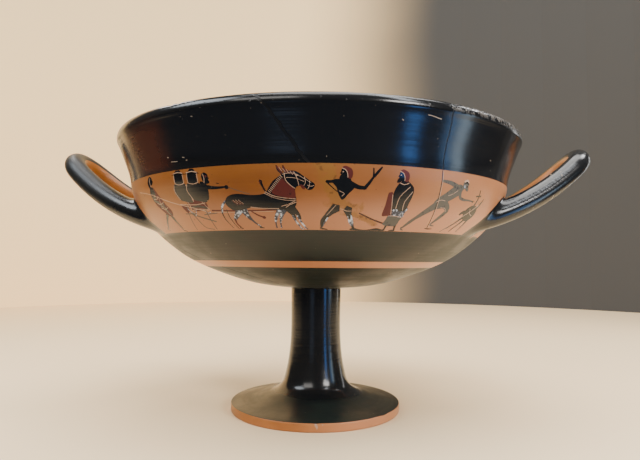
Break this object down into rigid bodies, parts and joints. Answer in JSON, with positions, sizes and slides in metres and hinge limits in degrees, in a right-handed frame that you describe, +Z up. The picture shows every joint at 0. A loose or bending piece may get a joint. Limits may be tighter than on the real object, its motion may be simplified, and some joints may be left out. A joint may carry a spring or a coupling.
{
  "type": "kylix cup",
  "caption": "Ancient black-figured kylix: wide shallow bowl with flaring lip and two upswept loop handles on a tall stem and disc foot, for wine.",
  "frame": {"origin": "centre of the standing surface under the foot", "axes": "+Z up the stem, +X along the line through the two handles, -Y is the side with the main frieze"},
  "size_m": [0.3236, 0.24, 0.1594],
  "materials": {
    "black_gloss": "fired clay with a hard, very glossy black slip, brushed on round the turning cup",
    "reserved_clay": "orange fired clay left free of slip and burnished, on the frieze, a line below it, the foot's edge and the inner side of the handles"
  },
  "bodies": {
    "root": {"kylix": "black_gloss"}
  },
  "joints": []
}
